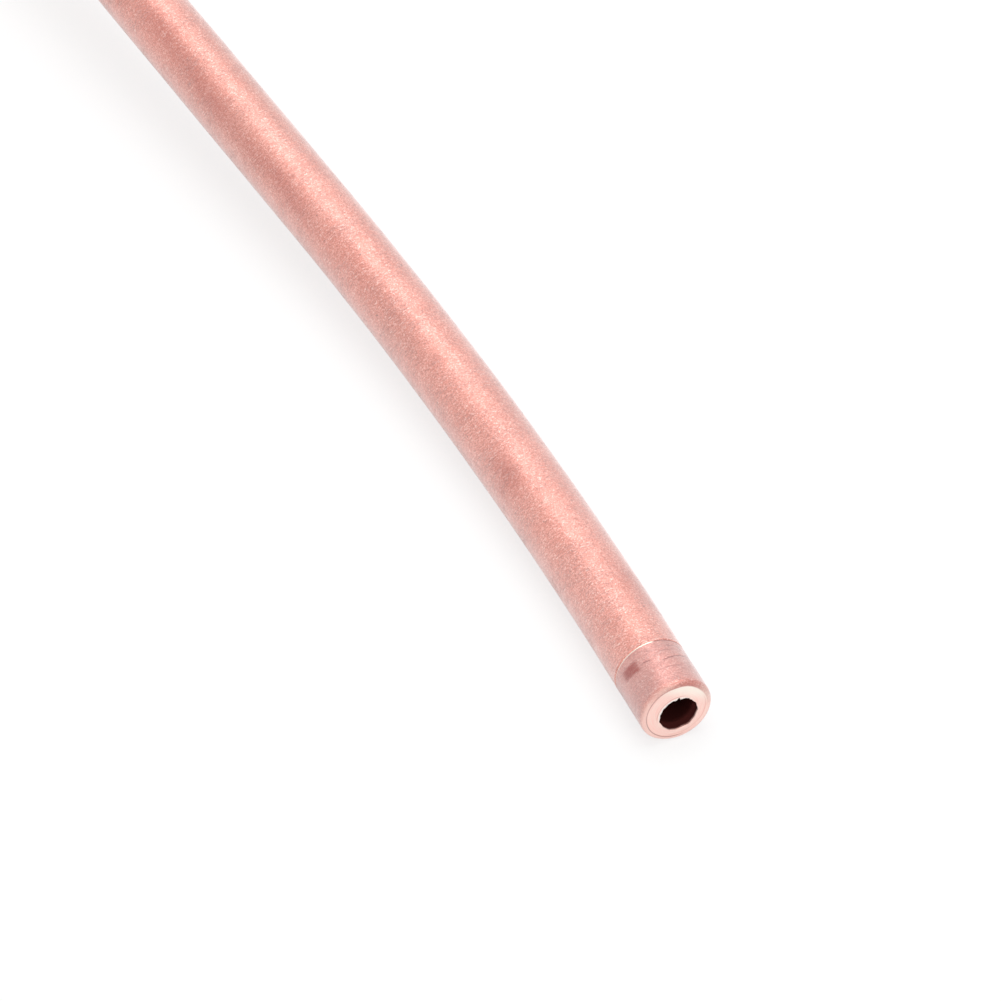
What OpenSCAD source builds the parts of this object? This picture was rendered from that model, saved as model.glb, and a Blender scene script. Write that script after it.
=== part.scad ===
// Coil of soft copper tube with one free end run out of the coil.
// The tube starts at the inner end, winds a flat spiral outwards, climbs through the outer
// turn that has sprung up, and comes down to the floor at the free end. Its free stretch is
// followed as a bender reads it: each bend has a radius, an angle and a roll about the heading.
// The coil's axis is the origin and the floor is z = 0.

/* [Tube] */
// Outside diameter of the tube
tube_od = 4; // [3:0.1:6]
// Wall thickness of the tube
wall = 1; // [0.5:0.1:1.3]

/* [Coil] */
// Clear width of the coil's eye, between the inner turns
eye_d = 105; // [80:1:160]
// Number of turns that lie flat
turns = 6; // [3:1:8]
// Gap left between neighbouring turns
turn_gap = 0.3; // [0.2:0.05:1.5]

/* [Inner end] */
// Radius of the bend that turns the inner end into the eye
inner_bend_r = 20; // [12:1:30]
// Turning angle of that bend
inner_bend_angle = 45; // [30:1:60]
// Straight stub at the inner end
inner_stub = 6; // [4:0.5:15]

/* [Free end] */
// Turning angle of the bend that levels off at the top of the outer turn
crest_angle = 45; // [35:1:70]
// Straight run from the outer turn towards the free end
tail_run = 120; // [60:1:160]
// Radius of the slow bend that lays the free end on the floor
tail_bend_r = 215; // [120:1:400]
// Turning angle of that slow bend
tail_bend_angle = 10.4; // [5:0.1:15]
// Roll of that slow bend out of the level, which makes the tube rise behind the end
tail_roll = 29; // [10:1:50]

/* [Cut end] */
// Straight stub between the cutter's score ring and the cut face
stub_length = 3.55; // [2.5:0.05:8]
// Radius of the rim that the cutter wheel rolled over
rim_r = 0.25; // [0.1:0.05:0.4]
// Chamfer at the mouth of the bore
mouth_chamfer = 0.1; // [0.05:0.01:0.2]
// Depth of the score ring
score_depth = 0.06; // [0.03:0.01:0.15]
// Width of the score ring at the surface
score_width = 0.2; // [0.1:0.01:0.4]

/* [Hidden] */
$fn = 128;

tube_r = tube_od / 2;
bore_r = tube_r - wall;

// The spiral is drawn with half turns from two centres, half a pitch apart
pitch = tube_od + turn_gap;
half_pitch = pitch / 2;
half_turns = 2 * turns;
inner_turn_r = eye_d / 2 + tube_r;
outer_turn_r = inner_turn_r + half_turns * half_pitch;

// Stretches of the tube are drawn full and a hair thinner in turn. The thinner ones reach
// a lap into both neighbours, so that no two walls share a face where the tube turns.
hair = 0.005;
lap = 0.05;

// Slope of the free run: the slow bend's roll and angle turn into this much pitch
tail_slope = asin(sin(tail_bend_angle) * sin(tail_roll));
crest_roll = asin(sin(tail_slope) / sin(crest_angle));

// How far each stretch comes down on its way from the top of the outer turn to the floor
crest_drop = outer_turn_r * (1 - cos(crest_angle)) * sin(crest_roll);
run_drop = tail_run * sin(tail_slope);
bend_drop = tail_bend_r * (1 - cos(tail_bend_angle)) * sin(tail_roll);
sprung_roll = asin((crest_drop + run_drop + bend_drop) / (2 * outer_turn_r));

// Lean of the bend plane against the level, at the end of the crest and the start of the bend
crest_lean = asin(cos(crest_angle) * sin(crest_roll) / cos(tail_slope));
bend_lean = asin(cos(tail_bend_angle) * sin(tail_roll) / cos(tail_slope));

module ring_section(thinner) {
  difference() {
    circle(r = tube_r - thinner);
    circle(r = bore_r + thinner);
  }
}

// Half turn of tube round the Z axis, from -X over +Y to +X
module half_turn(radius) {
  rotate_extrude(angle = 180) translate([radius, 0]) ring_section(0);
}

// Straight length of tube from the origin along +Y
module straight(length, thinner = 0) {
  reach = thinner > 0 ? lap : 0;
  translate([0, -reach, 0]) rotate([-90, 0, 0])
    linear_extrude(length + 2 * reach) ring_section(thinner);
}

// Bend of the tube that starts at the origin, heads along +Y and turns towards +X.
// What follows it is drawn at its end, in the frame that the bend has turned.
module bend(radius, angle, roll, thinner = 0) {
  reach = thinner > 0 ? lap / radius * 180 / PI : 0;
  rotate([0, roll, 0]) translate([radius, 0, 0]) {
    mirror([0, 1, 0]) rotate([0, 0, 180 - reach])
      rotate_extrude(angle = angle + 2 * reach) translate([radius, 0]) ring_section(thinner);
    rotate([0, 0, -angle]) translate([-radius, 0, 0]) children();
  }
}

// Half section of the stub: X is the radius and Y runs out to the cut face
module stub_section() {
  outer_r = tube_r - hair;
  inner_r = bore_r + hair;
  difference() {
    translate([inner_r, -lap]) square([outer_r - inner_r, stub_length + lap]);
    translate([outer_r - rim_r, stub_length - rim_r]) difference() {
      square(2 * rim_r);
      circle(r = rim_r);
    }
    translate([inner_r, stub_length])
      polygon([[0, -mouth_chamfer], [mouth_chamfer, 0], [0, mouth_chamfer], [-mouth_chamfer, 0]]);
    translate([outer_r, score_width])
      polygon([[0, -score_width / 2], [score_depth, 0], [0, score_width / 2], [-score_depth, 0]]);
  }
}

// Worked end of the tube, from the score ring to the cut face, along +Y
module cut_end() {
  rotate([-90, 0, 0])
    rotate_extrude() stub_section();
}

// Flat spiral of half turns, from the inner end outwards
module spiral() {
  for (k = [0 : half_turns - 1])
    translate([-(k % 2) * half_pitch, 0, 0]) rotate([0, 0, -180 * (k % 2)])
      half_turn(inner_turn_r + k * half_pitch);
}

// Plain end that turns from the first half turn into the eye
module inner_end() {
  mirror([0, 1, 0])
    bend(inner_bend_r, inner_bend_angle, 0, hair) straight(inner_stub);
}

// Turn that has sprung up, the run down from its top and the worked end on the floor
module free_end() {
  bend(outer_turn_r, 180, -sprung_roll, hair)
    bend(outer_turn_r, crest_angle, crest_roll - sprung_roll) {
      straight(tail_run, hair);
      translate([0, tail_run, 0])
        bend(tail_bend_r, tail_bend_angle, -crest_lean - bend_lean) cut_end();
    }
}

module tube() {
  color("peru")
    translate([half_pitch / 2, 0, tube_r]) {
      translate([-inner_turn_r, 0, 0]) inner_end();
      spiral();
      translate([-outer_turn_r, 0, 0]) free_end();
    }
}

tube();
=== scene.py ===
from collections import namedtuple
import math

import bpy
import numpy as np
from mathutils import Matrix, Vector


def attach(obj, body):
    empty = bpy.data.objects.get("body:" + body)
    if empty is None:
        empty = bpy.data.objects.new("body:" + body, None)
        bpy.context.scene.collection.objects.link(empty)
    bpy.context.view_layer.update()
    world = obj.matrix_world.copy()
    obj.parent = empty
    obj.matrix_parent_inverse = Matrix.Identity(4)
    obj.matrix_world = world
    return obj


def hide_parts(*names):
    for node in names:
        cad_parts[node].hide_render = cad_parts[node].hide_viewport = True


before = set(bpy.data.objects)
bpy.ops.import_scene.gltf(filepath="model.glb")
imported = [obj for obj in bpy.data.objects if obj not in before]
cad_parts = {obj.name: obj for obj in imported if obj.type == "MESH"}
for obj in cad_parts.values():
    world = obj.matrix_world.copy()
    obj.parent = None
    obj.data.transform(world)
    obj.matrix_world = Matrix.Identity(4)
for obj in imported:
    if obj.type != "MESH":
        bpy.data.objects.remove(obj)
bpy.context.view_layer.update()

MM = 0.001
TAU = 2 * math.pi
UPWARDS = np.array([0, 0, 1])
LEVEL_PART = np.array([1, 1, 0])

# Sizes of the CAD model, in mm and degrees
TUBE_OD = 4.0
WALL = 1.0
EYE_D = 105.0
TURNS = 6
TURN_GAP = 0.3
INNER_BEND_R = 20.0
INNER_BEND_ANGLE = 45.0
INNER_STUB = 6.0
CREST_ANGLE = 45.0
TAIL_RUN = 120.0
TAIL_BEND_R = 215.0
TAIL_BEND_ANGLE = 10.4
TAIL_ROLL = 29.0
STUB_LENGTH = 3.55
RIM_R = 0.25
SCORE_WIDTH = 0.2

TUBE_R = TUBE_OD / 2
BORE_R = TUBE_R - WALL
HALF_PITCH = (TUBE_OD + TURN_GAP) / 2
HALF_TURNS = 2 * TURNS
INNER_TURN_R = EYE_D / 2 + TUBE_R
OUTER_TURN_R = INNER_TURN_R + HALF_TURNS * HALF_PITCH


def sin(angle):
    return math.sin(math.radians(angle))


def cos(angle):
    return math.cos(math.radians(angle))


def asin(value):
    return math.degrees(math.asin(value))


# Rolls of the free stretch, worked out as the CAD model does
TAIL_SLOPE = asin(sin(TAIL_BEND_ANGLE) * sin(TAIL_ROLL))
CREST_ROLL = asin(sin(TAIL_SLOPE) / sin(CREST_ANGLE))
CREST_DROP = OUTER_TURN_R * (1 - cos(CREST_ANGLE)) * sin(CREST_ROLL)
RUN_DROP = TAIL_RUN * sin(TAIL_SLOPE)
BEND_DROP = TAIL_BEND_R * (1 - cos(TAIL_BEND_ANGLE)) * sin(TAIL_ROLL)
SPRUNG_ROLL = asin((CREST_DROP + RUN_DROP + BEND_DROP) / (2 * OUTER_TURN_R))
CREST_LEAN = asin(cos(CREST_ANGLE) * sin(CREST_ROLL) / cos(TAIL_SLOPE))
BEND_LEAN = asin(cos(TAIL_BEND_ANGLE) * sin(TAIL_ROLL) / cos(TAIL_SLOPE))


# The tube's centre line: rolls about the heading, lines and arcs, one after the other
def moved(x, y, z):
    m = np.eye(4)
    m[:3, 3] = x, y, z
    return m


def rolled(angle):
    m = np.eye(4)
    m[0, 0] = m[2, 2] = cos(angle)
    m[0, 2], m[2, 0] = sin(angle), -sin(angle)
    return m


def turned(angle):
    m = np.eye(4)
    m[0, 0] = m[1, 1] = cos(angle)
    m[0, 1], m[1, 0] = -sin(angle), sin(angle)
    return m


def centre_line():
    """The segments of the path: (start length, length, radius or 0, frame, roll so far)."""
    steps = [("line", INNER_STUB), ("arc", INNER_BEND_R, INNER_BEND_ANGLE)]
    steps += [("arc", INNER_TURN_R + k * HALF_PITCH, 180) for k in range(HALF_TURNS)]
    steps += [("roll", -SPRUNG_ROLL), ("arc", OUTER_TURN_R, 180)]
    steps += [("roll", CREST_ROLL - SPRUNG_ROLL), ("arc", OUTER_TURN_R, CREST_ANGLE)]
    steps += [("line", TAIL_RUN), ("roll", -CREST_LEAN - BEND_LEAN)]
    steps += [("arc", TAIL_BEND_R, TAIL_BEND_ANGLE), ("line", STUB_LENGTH)]
    turn = INNER_BEND_ANGLE
    first_turn_x = HALF_PITCH / 2 - INNER_TURN_R
    start_x = first_turn_x + INNER_BEND_R * (1 - cos(turn)) + INNER_STUB * sin(turn)
    start_y = -INNER_BEND_R * sin(turn) - INNER_STUB * cos(turn)
    at = moved(start_x, start_y, TUBE_R) @ turned(turn)
    found, done, roll = [], 0.0, 0.0
    for step in steps:
        if step[0] == "roll":
            at = at @ rolled(step[1])
            roll += step[1]
        elif step[0] == "line":
            found.append((done, step[1], 0.0, at, roll))
            at = at @ moved(0, step[1], 0)
            done += step[1]
        else:
            radius, angle = step[1:]
            found.append((done, radius * math.radians(angle), radius, at, roll))
            at = at @ moved(radius, 0, 0) @ turned(-angle) @ moved(-radius, 0, 0)
            done += radius * math.radians(angle)
    return found, done


SEGMENTS, LENGTH = centre_line()


def stations(lengths):
    """Points on the centre line at these lengths, with the two cross axes and the heading."""
    lengths = np.clip(np.asarray(lengths, float), 0, LENGTH)
    point, side, top, head = (np.zeros((len(lengths), 3)) for _ in range(4))
    starts = np.array([s[0] for s in SEGMENTS])
    which = np.clip(np.searchsorted(starts, lengths, side="right") - 1, 0, len(SEGMENTS) - 1)
    for i, (start, _, radius, at, roll) in enumerate(SEGMENTS):
        mine = which == i
        along = lengths[mine] - start
        zero = np.zeros_like(along)
        if radius:
            t = along / radius
            local = np.stack([radius - radius * np.cos(t), radius * np.sin(t), zero], 1)
            x_axis = np.stack([np.cos(t), -np.sin(t), zero], 1)
            y_axis = np.stack([np.sin(t), np.cos(t), zero], 1)
        else:
            local = np.stack([zero, along, zero], 1)
            x_axis = np.stack([zero + 1, zero, zero], 1)
            y_axis = np.stack([zero, zero + 1, zero], 1)
        turn = at[:3, :3]
        x_axis, y_axis, z_axis = x_axis @ turn.T, y_axis @ turn.T, turn[:, 2]
        point[mine] = local @ turn.T + at[:3, 3]
        head[mine] = y_axis
        side[mine] = cos(roll) * x_axis + sin(roll) * z_axis
        top[mine] = sin(roll) * x_axis - cos(roll) * z_axis
    return point, side, top, head


# The cross axes are turned together so that they lie level and upright at the cut face
_, END_SIDE, END_TOP, END_HEAD = (a[0] for a in stations([LENGTH]))
LEVEL = np.cross(UPWARDS, END_HEAD)
UPRIGHT = math.atan2(LEVEL @ END_TOP, LEVEL @ END_SIDE)


def cross_axes(lengths):
    """Points on the centre line, with the level axis, the upright one and the heading."""
    point, side, top, head = stations(lengths)
    level = math.cos(UPRIGHT) * side + math.sin(UPRIGHT) * top
    up = -math.sin(UPRIGHT) * side + math.cos(UPRIGHT) * top
    return point, level, up, head


# Camera of the photograph: angles in degrees, and what it aims at as seen from the cut face, in mm
CAMERA_ELEVATION = 42.51
CAMERA_AZIMUTH = 22.65
CAMERA_DISTANCE = 360.7
TARGET_RIGHT, TARGET_AHEAD = -9.03, 18.14
FOCAL_PX = 6767.7
PICTURE_PX = 1001
SENSOR_MM = 36.0
CLIP_NEAR_M, CLIP_FAR_M = 0.01, 20

back = -END_HEAD * LEVEL_PART
back /= np.linalg.norm(back)
beside = np.array([back[1], -back[0], 0])
ahead = sin(CAMERA_AZIMUTH) * beside + cos(CAMERA_AZIMUTH) * back
right = cos(CAMERA_AZIMUTH) * beside - sin(CAMERA_AZIMUTH) * back
cut_face = stations([LENGTH])[0][0] * LEVEL_PART
target = cut_face + right * TARGET_RIGHT + ahead * TARGET_AHEAD
look = ahead * cos(CAMERA_ELEVATION) - UPWARDS * sin(CAMERA_ELEVATION)
eye = target - look * CAMERA_DISTANCE
above = np.cross(right, look)

camera_data = bpy.data.cameras.new("camera")
camera_data.sensor_fit = "HORIZONTAL"
camera_data.sensor_width = SENSOR_MM
camera_data.lens = FOCAL_PX / PICTURE_PX * SENSOR_MM
camera_data.clip_start, camera_data.clip_end = CLIP_NEAR_M, CLIP_FAR_M
camera = bpy.data.objects.new("camera", camera_data)
bpy.context.scene.collection.objects.link(camera)
placed = np.eye(4)
placed[:3, 0], placed[:3, 1], placed[:3, 2], placed[:3, 3] = right, above, -look, eye * MM
camera.matrix_world = Matrix(placed.tolist())
bpy.context.scene.camera = camera


# The tube's skin, in mm. Places along it are lengths on the centre line or mm back from the cut
# face, and places round it are clock angles: 0 is level on the right, and 90 degrees is the top.
SKIN_SHRINK = 0.02      # the skin lies this far inside the CAD surface, for its unevenness
RIPPLE = 0.009
# Corners in a ring and spacing of the rings: on the coil, the free end and the worked end
COIL_SIDES, TAIL_SIDES, END_SIDES = 48, 96, 192
COIL_STEP, TAIL_STEP, END_STEP = 3.6, 0.7, 0.08
# Where the free end and the worked end start, back from the face, and the gap that each of the
# three stretches leaves before its first ring
TAIL_SHOWN, END_SHOWN = 84.0, 5.4
COIL_LEAD, TAIL_LEAD, END_LEAD = 0.5, 0.5, 0.1

# Score ring: how far behind the CAD model's it lies, its place back from the face, its waver
# and groove, and the metal that was thrown up on both sides
RING_BEHIND = 0.02
RING_AT = STUB_LENGTH - SCORE_WIDTH + RING_BEHIND
RING_WAVER, RING_PHASE = 0.02, 2.1
RING_DEEP, RING_HALF = 0.05, 0.045
BURR_AWAY, BURR_HALF, BURR_BEHIND, BURR_AHEAD = 0.12, 0.06, 0.012, 0.010
# Finer rings near it: how far they reach on both sides, and their spacing
RING_REACH, RING_STEP = 0.3, 0.035

# Shallow dents: mm back from the cut face, clock angle, depth, length and width in mm
DENTS = [(3.0, 20, 0.02, 1.2, 1.5), (44.0, 165, 0.07, 12.0, 2.2), (31.0, 150, 0.04, 6.0, 1.6),
         (52.0, 115, 0.06, 2.5, 1.3), (57.0, 140, 0.08, 3.0, 1.4), (61.0, 60, 0.04, 4.0, 1.8)]
# Short tracks of the wheel: mm back from the face, slope, from and to in mm across, depth
TOUCHES = [(1.90, 0.24, 0.0, 1.7, 0.03), (2.05, -0.26, -0.95, -0.55, 0.025),
           (2.9, 0.05, 0.6, 1.9, 0.015), (2.55, 0.1, -0.3, 0.9, 0.012),
           (1.35, 0.0, -0.6, 0.8, 0.012)]
# Their half width, how softly they end, and the sine of the clock angle below which none are cut
TOUCH_HALF, TOUCH_FADE, TOUCH_LOWEST = 0.035, 0.15, -0.2

# Inner end: radius of its rounding, and the rings over it
INNER_ROUND, INNER_RINGS = 0.15, 4

# Rolled rim: its rings, size, lobes and phase of the waves in its width, and the waver of its edge
RIM_RINGS = 8
RIM_WAVES = [(0.18, 1, 0), (0.06, 3, 1), (0.04, 7, 2.5)]
RIM_WAVER, RIM_LOBES = 0.006, 5
# Greatest shares of fresh metal and of painted shade on it, and the rings over which they grow
RIM_FRESH, RIM_FRESH_RINGS = 0.85, 5
RIM_PAINTED_SHADE, RIM_PAINTED_SHADE_RINGS = 0.5, 4
# Clock angle round which it gets painted shade instead of fresh metal, and half width of that in
# radians
RIM_PAINTED_SHADE_AT, RIM_PAINTED_SHADE_HALF = math.radians(70), 1.0

# Cut face: its rings, how far it lies behind the CAD face and inside the rim, its dish, its tilt
# and its ripple
FACE_RINGS, FACE_BACK, FACE_INSIDE = 12, 0.012, 0.01
FACE_DISH, FACE_TILT, FACE_TILT_PHASE = 0.03, 0.008, 3
FACE_RIPPLE, FACE_LOBES = 0.02, 9

# The bore's mouth as the wheel left it: its centre to the right and up, its radius, raggedness
MOUTH_RIGHT, MOUTH_UP, MOUTH_R, MOUTH_RAGGED = 0.095, -0.24, 1.055, 0.007
# Two notches in its edge and a tooth: clock angle, depth or height in mm, half width in radians
NOTCHES = [(84, 0.085, 0.07), (47, 0.04, 0.05)]
TOOTH_AT, TOOTH_HIGH, TOOTH_HALF = 76, 0.05, 0.05
# Torn lip that turns from there into the bore: where it starts, how deep it goes and how much
# it swells, and how fast its fresh metal ends and the bore's dark begins
LIP_RINGS, LIP_EDGE, LIP_DEPTH, LIP_SWELL = 8, 0.015, 0.3, 0.01
LIP_FRESH_FALL, LIP_BORE_RISE = 3, 2

# Bore: slack, ripple, the ripple's lobes and its twist along the bore, the stretch that is seen
# from the mouth and the plain rest
BORE_SLACK, BORE_RIPPLE, BORE_LOBES, BORE_TWIST = 0.01, 0.004, 3, 2
BORE_SEEN_FROM, BORE_SEEN_TO, BORE_SEEN_RINGS = 0.5, 8, 20
BORE_REST_FROM, BORE_STOP, BORE_STEP, BORE_SIDES = 9, 1.0, 6.0, 24
# Rings of the inner end's cut face: length, radius, share of fresh metal and of bore
INNER_FACE = [(0.1, BORE_R + 0.02, 0, 0.5), (0.0, BORE_R + 0.1, 1, 0),
              (0.0, (BORE_R + TUBE_R) / 2, 1, 0)]

# Stained spots: mm back from the cut face, clock angle, strength, length and width in mm
SMUDGES = [(8.3, 56, 0.40, 1.6, 0.8), (6.4, 34, 0.40, 1.6, 0.7), (18.6, 133, 0.50, 1.7, 0.7),
           (18.1, 158, 0.35, 0.5, 0.3), (12.5, 40, 0.20, 2.5, 0.8), (58.3, 126, 0.45, 3.0, 0.7),
           (54.3, 133, 0.35, 2.4, 0.6), (51.4, 137, 0.45, 2.0, 0.7), (47.5, 141, 0.35, 2.6, 0.6),
           (44.5, 133, 0.30, 2.0, 0.5), (42.3, 142, 0.35, 2.4, 0.6), (35.0, 132, 0.15, 6.0, 0.6)]
# The one with sharp corners behind the rim: its ends back from the face, its sides round the
# clock, the slant of its near end, how far the other follows it, strength and soft edges
PATCH_LOW, PATCH_HIGH, PATCH_FROM, PATCH_TO = 2.0, 2.72, 127, 158
PATCH_SLANT, PATCH_FOLLOW, PATCH_STRENGTH = 0.25, 0.6, 1.1
PATCH_END_SOFT, PATCH_SIDE_SOFT = 0.12, 0.2

# Random waves: lobes, phase and size in the mouth, then length, lobes and phase along the skin
SEED = 41
MOUTH_WAVE_COUNT, SLOW_WAVE_COUNT = 12, 14
random = np.random.default_rng(SEED)
MOUTH_WAVES = [(random.integers(3, 16), random.uniform(0, TAU), random.uniform(0.4, 1))
               for _ in range(MOUTH_WAVE_COUNT)]
SLOW_WAVES = [(random.uniform(5, 60), random.integers(0, 4), random.uniform(0, TAU))
              for _ in range(SLOW_WAVE_COUNT)]


def bump_at(s, a, s0, a0, s_size, a_size):
    """A round-topped patch of height 1 at length s0 and clock angle a0, both sizes in mm."""
    across = (a - a0 + math.pi) % TAU - math.pi
    return np.exp(-(((s - s0) / s_size) ** 2) - (across * TUBE_R / a_size) ** 2)


def groove(distance, width):
    """A smooth hump of height 1, over the distance from its middle. It is 0.37 at the width."""
    return np.exp(-((distance / width) ** 2))


def soft_step(value, width):
    """A smooth step from 0 to 1 round zero, about as wide as the width."""
    return 0.5 + 0.5 * np.tanh(2 * value / width)


def slow_ripples(s, a):
    waves = sum(np.sin(TAU * s / wave + lobes * a + phase) for wave, lobes, phase in SLOW_WAVES)
    return waves / math.sqrt(len(SLOW_WAVES))


def outer_radius(s, a):
    """Radius of the outer skin before the rim, with handling dents and the cutter's marks."""
    back_from_end = LENGTH - s
    r = np.full(np.broadcast(s, a).shape, TUBE_R - SKIN_SHRINK)
    r += RIPPLE * slow_ripples(s, a)
    for at, clock, deep, s_size, a_size in DENTS:
        r -= deep * bump_at(back_from_end, a, at, math.radians(clock), s_size, a_size)
    # The cutter wheel's score ring and the metal that it threw up on both sides
    ring = back_from_end - RING_AT - RING_WAVER * np.sin(2 * a + RING_PHASE)
    r -= RING_DEEP * groove(ring, RING_HALF)
    r += (BURR_BEHIND * groove(ring - BURR_AWAY, BURR_HALF)
          + BURR_AHEAD * groove(ring + BURR_AWAY, BURR_HALF))
    # Where the wheel touched down again between the ring and the rim
    level = TUBE_R * np.cos(a)
    for at, slope, low, high, deep in TOUCHES:
        held = soft_step(level - low, TOUCH_FADE) * soft_step(high - level, TOUCH_FADE)
        held *= np.sin(a) > TOUCH_LOWEST
        r -= deep * groove(back_from_end - at - slope * level, TOUCH_HALF) * held
    return r


def smudge(s, a):
    """Strength of the stains at this length and clock angle."""
    u = LENGTH - s
    soft = sum(strength * bump_at(u, a, at, math.radians(clock), s_size, a_size)
               for at, clock, strength, s_size, a_size in SMUDGES)
    across = (a - math.radians(PATCH_FROM)) * TUBE_R
    width = math.radians(PATCH_TO - PATCH_FROM) * TUBE_R
    lean = PATCH_SLANT * across
    patch = (soft_step(u - PATCH_LOW - lean, PATCH_END_SOFT)
             * soft_step(PATCH_HIGH + lean * PATCH_FOLLOW - u, PATCH_END_SOFT))
    return (soft + PATCH_STRENGTH * patch * soft_step(across, PATCH_SIDE_SOFT)
            * soft_step(width - across, PATCH_SIDE_SOFT))


def rim_width(a):
    """Width of the rolled rim as a share of its radius, wider where the wheel broke through."""
    return sum((size * np.sin(lobes * a + phase) for size, lobes, phase in RIM_WAVES), 1)


# Painted shade on the rim's rounding near its top, where it turns away from the light
def rim_painted_shade(a):
    return groove(a - RIM_PAINTED_SHADE_AT, RIM_PAINTED_SHADE_HALF)


def mouth_radius(a):
    """Distance from the tube's axis to the bore's ragged mouth, with two notches and a tooth."""
    across = MOUTH_RIGHT * np.sin(a) - MOUTH_UP * np.cos(a)
    r = MOUTH_RIGHT * np.cos(a) + MOUTH_UP * np.sin(a) + np.sqrt(MOUTH_R**2 - across**2)
    r += MOUTH_RAGGED * sum(size * np.sin(lobes * a + phase) for lobes, phase, size in MOUTH_WAVES)
    r += sum(deep * groove(a - math.radians(clock), half) for clock, deep, half in NOTCHES)
    return r - TOOTH_HIGH * groove(a - math.radians(TOOTH_AT), TOOTH_HALF)


# The wall as closed rings of (points, unrolled place, marks), each joined to the next
rings = []


def add_ring(s, radius, count, along=0.0, fresh=0.0, bore=0.0, stain_and_shade=0.0):
    """One ring at length s. Each value is a number or a function of the clock angle."""
    a = np.arange(count) * TAU / count
    r, ahead_by, fresh, bore, stain_and_shade = (v(a) if callable(v) else np.full(count, float(v))
                                       for v in (radius, along, fresh, bore, stain_and_shade))
    centre, level, up, head = (v[0] for v in cross_axes([s]))
    spoke = np.cos(a)[:, None] * level + np.sin(a)[:, None] * up
    points = centre + spoke * r[:, None] + head * ahead_by[:, None]
    unrolled = np.stack([r * np.cos(a), r * np.sin(a), s + ahead_by], 1)
    rings.append((points, unrolled, np.stack([stain_and_shade, fresh, bore], 1)))


def add_inner_rounding():
    """Edge of the inner end, which is a plain cut, a little rounded."""
    for step in range(INNER_RINGS + 1):
        t = step / INNER_RINGS * math.pi / 2
        inwards = INNER_ROUND * (1 - math.cos(math.pi / 2 - t))
        add_ring(INNER_ROUND * (1 - math.sin(t)), TUBE_R - SKIN_SHRINK - inwards, COIL_SIDES,
                 fresh=1 - step / INNER_RINGS)


def add_skin():
    """Outer skin up to the rim, with finer rings towards the cut face and at the score ring."""
    tail, end = LENGTH - TAIL_SHOWN, LENGTH - END_SHOWN
    ring_low, ring_high = LENGTH - RING_AT - RING_REACH, LENGTH - RING_AT + RING_REACH
    spans = [(COIL_LEAD, tail, COIL_STEP, COIL_SIDES),
             (tail + TAIL_LEAD, end, TAIL_STEP, TAIL_SIDES),
             (end + END_LEAD, ring_low, END_STEP, END_SIDES),
             (ring_low + RING_STEP, ring_high, RING_STEP, END_SIDES),
             (ring_high + END_STEP, LENGTH - RIM_R, END_STEP, END_SIDES)]
    for low, high, step, count in spans:
        for s in np.linspace(low, high, max(2, int(round((high - low) / step)) + 1)):
            add_ring(s, lambda a: outer_radius(s, a), count, stain_and_shade=lambda a: smudge(s, a))


def add_rim():
    """Rolled rim, with fresh metal towards the face and painted shade near its top, where its
    rounding turns from the light.
    """
    for step in range(1, RIM_RINGS + 1):
        t = step / RIM_RINGS * math.pi / 2
        fresh = RIM_FRESH * min(1, step / RIM_FRESH_RINGS)
        # On the rim the stain mark carries painted shade, strongest near its top
        stain_and_shade = RIM_PAINTED_SHADE * min(1, step / RIM_PAINTED_SHADE_RINGS)
        inwards = RIM_R * (1 - math.cos(t))
        add_ring(LENGTH - RIM_R + (RIM_R - FACE_BACK) * math.sin(t),
                 lambda a: outer_radius(LENGTH - RIM_R, a) - inwards * rim_width(a), END_SIDES,
                 along=lambda a: RIM_WAVER * np.sin(RIM_LOBES * a) * math.sin(t),
                 fresh=lambda a: fresh * (1 - rim_painted_shade(a)),
                 stain_and_shade=lambda a: stain_and_shade * rim_painted_shade(a))


def add_cut_face():
    """Cut face from the rim to the bore's mouth, slightly dished."""
    for step in range(1, FACE_RINGS + 1):
        t = step / FACE_RINGS

        def radius(a):
            outer = TUBE_R - SKIN_SHRINK - RIM_R * rim_width(a) - FACE_INSIDE
            return outer * (1 - t) + mouth_radius(a) * t

        def along(a):
            dish = -FACE_DISH * math.sin(math.pi * t)
            dish = dish - FACE_TILT * np.sin(2 * a + FACE_TILT_PHASE) * t
            return dish + FACE_RIPPLE * np.sin(FACE_LOBES * a) * t * (1 - t)

        add_ring(LENGTH - FACE_BACK, radius, END_SIDES, along=along, fresh=1)


def add_lip():
    """Torn lip, which turns from the ragged mouth into the round bore."""
    for step in range(1, LIP_RINGS + 1):
        t = step / LIP_RINGS
        add_ring(LENGTH - FACE_BACK - LIP_EDGE - LIP_DEPTH * t,
                 lambda a: mouth_radius(a) * (1 - t * t) + (BORE_R + BORE_SLACK) * t * t
                 + LIP_SWELL * math.sin(math.pi * t),
                 END_SIDES, fresh=max(0, 1 - LIP_FRESH_FALL * t), bore=min(1, LIP_BORE_RISE * t))


def add_bore():
    """Wall of the bore, back to the inner end, and that end's cut face."""
    for s in np.linspace(LENGTH - BORE_SEEN_FROM, LENGTH - BORE_SEEN_TO, BORE_SEEN_RINGS):
        add_ring(s, lambda a: BORE_R + BORE_SLACK
                 + BORE_RIPPLE * np.sin(BORE_LOBES * a + s * BORE_TWIST), TAIL_SIDES, bore=1)
    rest = int((LENGTH - BORE_REST_FROM - BORE_STOP) / BORE_STEP)
    for s in np.linspace(LENGTH - BORE_REST_FROM, BORE_STOP, rest):
        add_ring(s, BORE_R, BORE_SIDES, bore=1)
    for s, radius, fresh, bore in INNER_FACE:
        add_ring(s, radius, COIL_SIDES, fresh=fresh, bore=bore)


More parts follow.
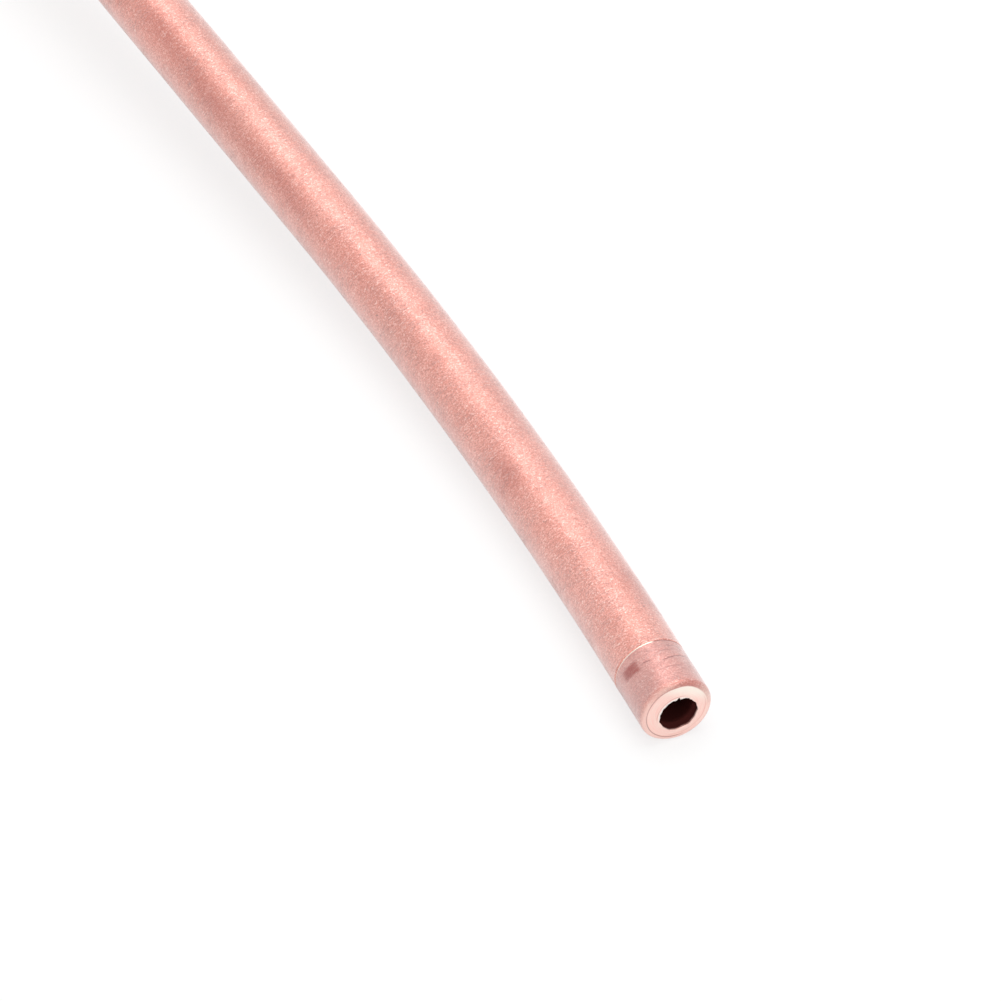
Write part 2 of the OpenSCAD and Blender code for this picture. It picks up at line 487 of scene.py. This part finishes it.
def join(first, second, faces):
    """Faces between two rings, given as (first vertex, count), also of different counts."""
    a0, n = first
    b0, m = second
    if n == m:
        faces += [(a0 + i, a0 + (i + 1) % n, b0 + (i + 1) % n, b0 + i) for i in range(n)]
        return
    i = j = 0
    while i < n or j < m:
        if i < n and (j >= m or (i + 1) / n <= (j + 1) / m):
            faces.append((a0 + i % n, a0 + (i + 1) % n, b0 + j % m))
            i += 1
        else:
            faces.append((a0 + i % n, b0 + (j + 1) % m, b0 + j % m))
            j += 1


# Out along the skin, over the cut face and back along the bore. The last ring joins the first.
add_inner_rounding()
add_skin()
add_rim()
add_cut_face()
add_lip()
add_bore()

starts = np.cumsum([0] + [len(r[0]) for r in rings])
spans = [(int(starts[i]), len(r[0])) for i, r in enumerate(rings)]
faces = []
for i, span in enumerate(spans):
    join(span, spans[(i + 1) % len(spans)], faces)
points = np.concatenate([r[0] for r in rings]) * MM
unrolled = np.concatenate([r[1] for r in rings])
marks = np.concatenate([r[2] for r in rings])

mesh = bpy.data.meshes.new("copper_tube")
mesh.from_pydata(points.tolist(), [], faces)
mesh.update()
mesh.shade_smooth()
for name, values in (("unrolled", unrolled), ("marks", marks)):
    layer = mesh.attributes.new(name, "FLOAT_VECTOR", "POINT")
    layer.data.foreach_set("vector", values.astype(np.float32).ravel())
tube = bpy.data.objects.new("copper_tube", mesh)
bpy.context.scene.collection.objects.link(tube)


# Materials
class Nodes:
    """Short names for the nodes of one material."""

    def __init__(self, tree):
        self.tree = tree
        tree.nodes.clear()

    def add(self, kind, inputs=(), **settings):
        node = self.tree.nodes.new("ShaderNode" + kind)
        for key, value in settings.items():
            setattr(node, key, value)
        for key, value in dict(inputs).items():
            self.put(node.inputs[key], value)
        return node

    def put(self, socket, value):
        if isinstance(value, bpy.types.NodeSocket):
            self.tree.links.new(value, socket)
        else:
            socket.default_value = value

    def math(self, operation, *values, clamp=False):
        node = self.add("Math", dict(enumerate(values)), operation=operation, use_clamp=clamp)
        return node.outputs[0]

    def times(self, first, second):
        return self.math("MULTIPLY", first, second)

    def length(self, x, y):
        return self.math("SQRT", self.math("ADD", self.times(x, x), self.times(y, y)))

    def vector(self, operation, first, second):
        return self.add("VectorMath", {0: first, 1: second}, operation=operation).outputs[0]

    def mix(self, share, first, second):
        node = self.add("Mix", data_type="RGBA")
        self.put(node.inputs["Factor"], share)
        self.put(node.inputs[6], first)
        self.put(node.inputs[7], second)
        return node.outputs[2]

    def noise(self, vector, scale, detail, rough, distortion=0.0):
        node = self.add("TexNoise", {"Vector": vector, "Scale": scale, "Detail": detail,
                                     "Roughness": rough, "Distortion": distortion})
        return node.outputs[0]

    def ramp(self, value, low, high, out_low=0.0, out_high=1.0):
        """A smooth change from one value to the other between low and high."""
        node = self.add("MapRange", {"Value": value, "From Min": low, "From Max": high,
                                     "To Min": out_low, "To Max": out_high})
        node.interpolation_type = "SMOOTHSTEP"
        return node.outputs[0]

    def near(self, value, at, full, gone):
        """1 where the value is within full of at, and 0 where it is further off than gone."""
        away = self.math("ABSOLUTE", self.math("SUBTRACT", value, at))
        return self.ramp(away, full, gone, 1, 0)


def linear(red, green, blue):
    """Linear colour of an sRGB colour given in 0 to 255."""
    def one(value):
        value /= 255
        return value / 12.92 if value <= 0.04045 else ((value + 0.055) / 1.055) ** 2.4
    return one(red), one(green), one(blue), 1.0


# Copper: its surface, the clear coat that gives the soft highlight, and the pale sheen
METALLIC = 0.45
ROUGH_LOW, ROUGH_HIGH = 0.34, 0.50
COAT, COAT_ROUGH, COAT_IOR = 0.75, 0.40, 1.9
SHEEN, SHEEN_ROUGH = 0.8, 0.5
# On the stub between the ring and the rim: share of the coat, and of the duller colour
STUB_COAT, STUB_DULL = 0.35, 0.42

# Colours of the skin, of the marks on it, of the cut face and of the bore
COPPER_DARK, COPPER_LIGHT = linear(229, 137, 117), linear(236, 149, 131)
LENGTH_TONE, STREAK = linear(206, 128, 108), linear(200, 128, 112)
# The grain's light colour is a painted glint
GRAIN_SHADE, GRAIN_PAINTED_GLINT = linear(180, 104, 90), linear(255, 228, 220)
SPECK, SCRATCH = linear(118, 70, 66), linear(176, 100, 90)
# The stain colour also gives the painted shade on the rim's top
STUB, STAIN_AND_SHADE = linear(184, 147, 147), linear(154, 50, 38)
# The ring's bright and dark colours are a painted highlight and painted shade
RING_PAINTED_HIGHLIGHT, RING_PAINTED_SHADE, TOUCHED = linear(255, 240, 224), linear(140, 64, 60), linear(138, 74, 72)
FACE_DARK, FACE_LIGHT = linear(255, 202, 190), linear(255, 218, 206)
# Painted light for the face's top and a painted highlight for the torn lip
FACE_PAINTED_LIGHT, LIP_PAINTED_HIGHLIGHT = linear(255, 250, 236), linear(255, 246, 238)
RIM_SHADE, INNER_SHADE = linear(156, 88, 80), linear(214, 142, 128)
LIP_SHADE, BORE_WALL = linear(214, 130, 118), linear(66, 28, 26)

# Patterns of noise over the skin: stretch of the place, scale per mm, detail, roughness and
# distortion, and the two values of the noise between which the pattern sets in
Pattern = namedtuple("Pattern", "stretch scale detail rough distortion low high")
PLAIN = 1, 1, 1
PATCHES = Pattern(PLAIN, 0.28, 4, 0.55, 0.4, 0.35, 0.68)
LENGTHS = Pattern((0.02, 0.02, 0.03), 1.0, 2, 0.5, 0, 0.52, 0.72)
STREAKS = Pattern((0.5, 0.5, 0.12), 1.0, 4, 0.6, 0, 0.54, 0.72)
SPECKS = Pattern(PLAIN, 3.6, 2, 0.5, 0, 0.71, 0.77)
SCRATCHED = Pattern(PLAIN, 0.5, 3, 0.6, 0, 0.40, 0.60)
BROKEN = Pattern(PLAIN, 3.5, 4, 0.6, 0, 0.30, 0.62)
DULLED = Pattern(PLAIN, 3.0, 4, 0.6, 0, 0.25, 0.75)
# Plain noise: scale, detail and roughness
WAVER, GRAIN, SCRATCHES, SLOW_RELIEF = (0.9, 2, 0.5), (13.5, 2, 0.6), (1.7, 4, 0.6), (2.2, 3, 0.5)

# Grain: stretch and stray of its wavy part, that part's share, and where it is dark and where it
# gets painted glints
GRAIN_STRETCH, GRAIN_STRAY, GRAIN_WAVY = (0.5, 0.5, 1.2), 0.8, 0.45
SHADE_RANGE, GLINT_RANGE = (0.38, 0.54), (0.50, 0.66)
# Fine scratches: stretch and stray, the value of the noise that they follow, and how far from
# it they are full and gone
SCRATCH_STRETCH, SCRATCH_STRAY, SCRATCH_NEAR = (0.5, 0.5, 4.0), 2.4, (0.5, 0, 0.03)
# Strengths of the layers of colour, and heights of the relief in mm
LENGTH_SHARE, STREAK_SHARE, GRAIN_DARK, GLINT_SHARE = 0.5, 0.45, 0.8, 0.7
SPECK_SHARE, SCRATCH_SHARE, STAIN_AND_SHADE_SHARE, STAIN_AND_SHADE_BROKEN = 0.7, 0.55, 0.8, 0.7
GRAIN_HIGH, SLOW_HIGH, SCRATCH_HIGH = 0.012, 0.020, -0.006
# How softly the stub's dull colour and its weaker coat set in at the ring, the range in mm behind
# the face over which that colour grows to full, and its share at the rim
STUB_SOFT, COAT_SOFT, STUB_FADE, STUB_AT_RIM = 0.05, 0.1, (0.1, 0.6), 0.6

# Drawn lines round the tube: their solid middle as a share of the half width, how softly they
# end across, and the heights over the axis in mm between which they set in
LINE_MIDDLE, LINE_SOFT, LINE_SIDE = 0.4, 0.1, (-0.6, -0.3)
# Painted highlight and painted shade on the two sides of the ring: mm back from the face, slope,
# from and to in mm across, and half width
RING_HIGHLIGHT_SIDE = RING_AT - 0.02, 0, -2.2, 0.1, 0.065
RING_SHADE_SIDE, RING_SHADE_SHARE = (RING_AT, 0, 0.1, 2.2, 0.055), 0.65
# Half width of the touches, darkness per mm of depth and at most, and how far the lines stray
TOUCH_LINE, TOUCH_PER_MM, TOUCH_MOST, RING_STRAY, TOUCH_STRAY = 0.05, 32, 0.75, 0.03, 0.12

# Cut face: scales of the turning marks along the radius and upwards, their noise, and the range
# of it between the face's two colours
TURNING_FINE, TURNING_LONG, TURNING, TURNING_RANGE = 9, 0.4, (2.0, 3, 0.6), (0.35, 0.65)
# Painted light at its top: lean to the right, range in mm upwards and share
TOP_LEAN, TOP_RANGE, TOP_LIGHT_SHARE = 0.5, (0.7, 1.7), 0.75
# Bright lip: lean to the left and range in mm of its upper left part, range in mm outwards from
# Painted highlight on the torn lip: lean to the left and range in mm of its upper left part, range
# in mm outwards from the mouth, and share
LEFT_LEAN, LEFT_RANGE, LIP_HIGHLIGHT_RANGE, LIP_HIGHLIGHT_SHARE = 0.8, (0.1, 0.9), (0.06, 0.11), 0.8
# Thin lines round it: distance from the axis, or from the mouth for the lip's, and half widths
# at which the line is full and gone, then the range in mm over which it sets in, and share
RIM_LINE, RIM_LINE_RANGE, RIM_LINE_SHARE = (1.70, 0.015, 0.04), (0.6, -0.2), 0.7
INNER_LINE, INNER_LINE_RANGE, INNER_LINE_SHARE = (1.60, 0.01, 0.035), (0.6, 1.4), 0.35
LIP_LINE, LIP_LINE_SHARE = (0.15, 0.012, 0.04), 0.5
# Range of the bore's mark over which the dark wall takes the metal's place
BORE_RANGE = 0.1, 0.8


class CopperNodes(Nodes):
    """Nodes of the copper, with the places and the marks that the skin's points carry."""

    def __init__(self, tree):
        super().__init__(tree)
        self.place = self.add("Attribute", attribute_name="unrolled").outputs["Vector"]
        marks = self.add("Attribute", attribute_name="marks").outputs["Vector"]
        stain_and_shade, self.fresh, self.bore = self.add("SeparateXYZ", {0: marks}).outputs
        self.stain_and_shade = self.math("MULTIPLY", stain_and_shade, STAIN_AND_SHADE_SHARE, clamp=True)
        self.across, self.up, length = self.add("SeparateXYZ", {0: self.place}).outputs
        self.back_from_end = self.math("SUBTRACT", LENGTH, length)
        self.waver = self.noise(self.place, *WAVER)

    def pattern(self, kind, out_low=0.0, out_high=1.0):
        """A pattern over the skin, from one value to the other where its noise sets in."""
        place = self.place
        if kind.stretch != PLAIN:
            place = self.vector("MULTIPLY", place, kind.stretch)
        value = self.noise(place, kind.scale, kind.detail, kind.rough, kind.distortion)
        return self.ramp(value, kind.low, kind.high, out_low, out_high)

    def strayed(self, stretch, stray):
        """The place, stretched, and pushed about by the slow waver."""
        place = self.vector("MULTIPLY", self.place, stretch)
        return self.vector("ADD", place, self.vector("MULTIPLY", self.waver, (stray,) * 3))

    def line(self, at, slope, low, high, half, stray):
        """A thin mark round the tube, from low to high across: 1 on it and 0 off it."""
        off = self.math("MULTIPLY_ADD", self.across, slope, at)
        off = self.math("SUBTRACT", self.back_from_end, off)
        off = self.math("ADD", off, self.math("MULTIPLY_ADD", self.waver, stray, -stray / 2))
        on = self.ramp(self.math("ABSOLUTE", off), half * LINE_MIDDLE, half, 1, 0)
        on = self.times(on, self.ramp(self.across, low - LINE_SOFT, low + LINE_SOFT))
        on = self.times(on, self.ramp(self.across, high - LINE_SOFT, high + LINE_SOFT, 1, 0))
        return self.times(on, self.ramp(self.up, *LINE_SIDE))

    def grain(self):
        """Orange-peel grain: fine cells, partly drawn out into short waves round the tube."""
        cells = self.noise(self.place, *GRAIN)
        waves = self.noise(self.strayed(GRAIN_STRETCH, GRAIN_STRAY), *GRAIN)
        return self.math("ADD", self.times(cells, 1 - GRAIN_WAVY), self.times(waves, GRAIN_WAVY))

    def scratches(self):
        """Fine wavy scratches round the tube, in some places only."""
        value = self.noise(self.strayed(SCRATCH_STRETCH, SCRATCH_STRAY), *SCRATCHES)
        return self.times(self.near(value, *SCRATCH_NEAR), self.pattern(SCRATCHED))

    def annealed(self, grain, scratches):
        """Colour of the skin: uneven in patches and along the tube, with grain, painted glints on
        it, and specks.
        """
        colour = self.mix(self.pattern(PATCHES), COPPER_DARK, COPPER_LIGHT)
        colour = self.mix(self.pattern(LENGTHS, 0, LENGTH_SHARE), colour, LENGTH_TONE)
        colour = self.mix(self.pattern(STREAKS, 0, STREAK_SHARE), colour, STREAK)
        colour = self.mix(self.ramp(grain, *SHADE_RANGE, GRAIN_DARK, 0), colour, GRAIN_SHADE)
        # Painted glints on the grain's high cells
        colour = self.mix(self.ramp(grain, *GLINT_RANGE, 0, GLINT_SHARE), colour, GRAIN_PAINTED_GLINT)
        colour = self.mix(self.pattern(SPECKS, 0, SPECK_SHARE), colour, SPECK)
        return self.mix(self.times(scratches, SCRATCH_SHARE), colour, SCRATCH)

    def at_ring(self, soft, ahead, behind):
        """A change at the score ring, from the value ahead of it to the one behind it."""
        return self.ramp(self.back_from_end, RING_AT - soft, RING_AT + soft, ahead, behind)

    def soiled(self, colour):
        """The duller stub between the score ring and the rim, and the stains, with the painted
        shade on the rim's top.
        """
        stub = self.times(self.at_ring(STUB_SOFT, STUB_DULL, 0),
                          self.ramp(self.back_from_end, *STUB_FADE, STUB_AT_RIM, 1))
        colour = self.mix(stub, colour, STUB)
        stain_and_shade = self.times(self.stain_and_shade, self.pattern(BROKEN, STAIN_AND_SHADE_BROKEN, 1))
        return self.mix(stain_and_shade, colour, STAIN_AND_SHADE)

    def scored(self, colour):
        """The cutter's ring, with a painted highlight on one side and painted shade on the other,
        and its short tracks.
        """
        # Painted highlight on the ring's left side and painted shade on its right side
        ring_highlight = self.line(*RING_HIGHLIGHT_SIDE, RING_STRAY)
        colour = self.mix(ring_highlight, colour, RING_PAINTED_HIGHLIGHT)
        ring_shade = self.line(*RING_SHADE_SIDE, RING_STRAY)
        colour = self.mix(self.times(ring_shade, RING_SHADE_SHARE), colour, RING_PAINTED_SHADE)
        for at, slope, low, high, deep in TOUCHES:
            line = self.line(at, slope, low, high, TOUCH_LINE, TOUCH_STRAY)
            share = min(TOUCH_MOST, TOUCH_PER_MM * deep)
            colour = self.mix(self.times(line, share), colour, TOUCHED)
        return colour

    def cut_face(self):
        """Fresh metal with turning marks, painted light at its top, thin lines near its rim and a
        painted highlight on the torn lip.
        """
        radius = self.length(self.across, self.up)
        turning = self.add("CombineXYZ", {0: self.times(radius, TURNING_FINE),
                                          1: self.times(self.up, TURNING_LONG)}).outputs[0]
        turning = self.ramp(self.noise(turning, *TURNING), *TURNING_RANGE)
        face = self.mix(turning, FACE_DARK, FACE_LIGHT)
        # Painted light: the face is lightened towards its top right
        top = self.math("MULTIPLY_ADD", self.across, TOP_LEAN, self.up)
        face = self.mix(self.ramp(top, *TOP_RANGE, 0, TOP_LIGHT_SHARE), face, FACE_PAINTED_LIGHT)
        from_mouth = self.length(self.math("SUBTRACT", self.across, MOUTH_RIGHT),
                                 self.math("SUBTRACT", self.up, MOUTH_UP))
        from_mouth = self.math("SUBTRACT", from_mouth, MOUTH_R)
        upper_left = self.math("SUBTRACT", self.up, self.times(self.across, LEFT_LEAN))
        upper_left = self.ramp(upper_left, *LEFT_RANGE)
        line = self.times(self.near(from_mouth, *LIP_LINE), upper_left)
        face = self.mix(self.times(line, LIP_LINE_SHARE), face, LIP_SHADE)
        # Painted highlight on the upper left of the torn lip
        lip_highlight = self.times(self.ramp(from_mouth, *LIP_HIGHLIGHT_RANGE, 1, 0), upper_left)
        face = self.mix(self.times(lip_highlight, LIP_HIGHLIGHT_SHARE), face, LIP_PAINTED_HIGHLIGHT)
        line = self.times(self.near(radius, *RIM_LINE), self.ramp(self.across, *RIM_LINE_RANGE))
        face = self.mix(self.times(line, RIM_LINE_SHARE), face, RIM_SHADE)
        lower_right = self.ramp(self.math("SUBTRACT", self.across, self.up), *INNER_LINE_RANGE)
        line = self.times(self.near(radius, *INNER_LINE), lower_right)
        return self.mix(self.times(line, INNER_LINE_SHARE), face, INNER_SHADE)

    def relief(self, grain, scratches):
        """Surface direction, from the grain, slow waves and scratches."""
        height = self.times(grain, GRAIN_HIGH)
        waves = self.noise(self.place, *SLOW_RELIEF)
        height = self.math("MULTIPLY_ADD", waves, SLOW_HIGH, height)
        height = self.math("MULTIPLY_ADD", scratches, SCRATCH_HIGH, height)
        return self.add("Bump", {"Height": height, "Strength": 1.0, "Distance": MM}).outputs[0]

    def coat(self):
        """Weight of the clear coat: full on the skin, less on the stub, under stains and under the
        rim's painted shade.
        """
        clean = self.math("SUBTRACT", 1.0, self.stain_and_shade)
        return self.times(self.times(clean, self.at_ring(COAT_SOFT, STUB_COAT, 1)), COAT)


def copper_material():
    """Annealed copper, with fresh metal on the cut face and a dark wall in the bore."""
    material = bpy.data.materials.new("annealed_copper")
    material.use_nodes = True
    n = CopperNodes(material.node_tree)
    grain, scratches = n.grain(), n.scratches()
    colour = n.scored(n.soiled(n.annealed(grain, scratches)))
    colour = n.mix(n.fresh, colour, n.cut_face())
    normal = n.relief(grain, scratches)
    skin = n.add("BsdfPrincipled", {
        "Base Color": colour, "Metallic": METALLIC, "Normal": normal,
        "Roughness": n.pattern(DULLED, ROUGH_LOW, ROUGH_HIGH),
        "Coat Weight": n.coat(), "Coat IOR": COAT_IOR, "Coat Roughness": COAT_ROUGH,
        "Coat Normal": normal, "Sheen Weight": SHEEN, "Sheen Roughness": SHEEN_ROUGH})
    wall = n.add("BsdfDiffuse", {"Color": BORE_WALL})
    shader = n.add("MixShader", {0: n.ramp(n.bore, *BORE_RANGE),
                                 1: skin.outputs[0], 2: wall.outputs[0]})
    n.add("OutputMaterial", {"Surface": shader.outputs[0]})
    return material


mesh.materials.append(copper_material())
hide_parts("tube")
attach(tube, "root")


# Floor, world and lamps. Distances and sizes are in metres, powers in watts.
FLOOR_HALF = 3.0
FLOOR_COLOUR = 0.97, 0.97, 0.97, 1
FLOOR_WHITE_SHARE = 0.77
WHITE = 1, 1, 1, 1
WORLD_LIGHT = 0.45
LAMP_DISTANCE = 1.0
KEY_ALONG, KEY_CLOCK, KEY_SIZE, KEY_POWER = 0.20, 84.0, 0.95, 7.4
FILL_ALONG, FILL_CLOCK, FILL_SIZE, FILL_POWER = -0.80, 75.0, 0.6, 2.4


def seen_share(n):
    """1 for rays that show the background itself: from the camera, a reflection or a glass."""
    path = n.add("LightPath")
    seen = n.math("MAXIMUM", path.outputs["Is Camera Ray"], path.outputs["Is Glossy Ray"])
    return n.math("MAXIMUM", seen, path.outputs["Is Transmission Ray"])


def floor_material():
    """Pale floor that keeps the tube's shadow and is lightened where it is seen."""
    material = bpy.data.materials.new("pale_floor")
    material.use_nodes = True
    n = Nodes(material.node_tree)
    plain = n.add("BsdfDiffuse", {"Color": FLOOR_COLOUR})
    white = n.add("Emission", {"Color": WHITE, "Strength": 1.0})
    mixed = n.add("MixShader", {0: n.times(seen_share(n), FLOOR_WHITE_SHARE),
                                1: plain.outputs[0], 2: white.outputs[0]})
    n.add("OutputMaterial", {"Surface": mixed.outputs[0]})
    return material


def studio_world():
    """Plain world light, white where it is seen."""
    world = bpy.data.worlds.new("studio")
    world.use_nodes = True
    n = Nodes(world.node_tree)
    strength = n.math("MULTIPLY_ADD", seen_share(n), 1 - WORLD_LIGHT, WORLD_LIGHT)
    background = n.add("Background", {"Color": WHITE, "Strength": strength})
    n.add("OutputWorld", {"Surface": background.outputs[0]})
    return world


def softbox(name, along, clock, size, power):
    """A square area lamp that faces the middle of the picture. It stands off by the share along
    of its distance behind the cut end, and at this clock angle round the tube."""
    lamp = bpy.data.lights.new(name, "AREA")
    lamp.shape, lamp.size, lamp.energy = "SQUARE", size, power
    made = bpy.data.objects.new(name, lamp)
    off = cos(clock) * beside + sin(clock) * UPWARDS
    direction = Vector((along * back + math.sqrt(1 - along**2) * off).tolist())
    made.location = Vector((target * MM).tolist()) + direction * LAMP_DISTANCE
    made.rotation_euler = direction.to_track_quat("Z", "Y").to_euler()
    bpy.context.scene.collection.objects.link(made)


corners = [(-FLOOR_HALF, -FLOOR_HALF, 0), (FLOOR_HALF, -FLOOR_HALF, 0),
           (FLOOR_HALF, FLOOR_HALF, 0), (-FLOOR_HALF, FLOOR_HALF, 0)]
floor_mesh = bpy.data.meshes.new("floor")
floor_mesh.from_pydata(corners, [], [(0, 1, 2, 3)])
floor_mesh.materials.append(floor_material())
floor = bpy.data.objects.new("floor", floor_mesh)
bpy.context.scene.collection.objects.link(floor)

softbox("key", KEY_ALONG, KEY_CLOCK, KEY_SIZE, KEY_POWER)
softbox("fill", FILL_ALONG, FILL_CLOCK, FILL_SIZE, FILL_POWER)

scene = bpy.context.scene
scene.world = studio_world()
scene.view_settings.view_transform = "Standard"
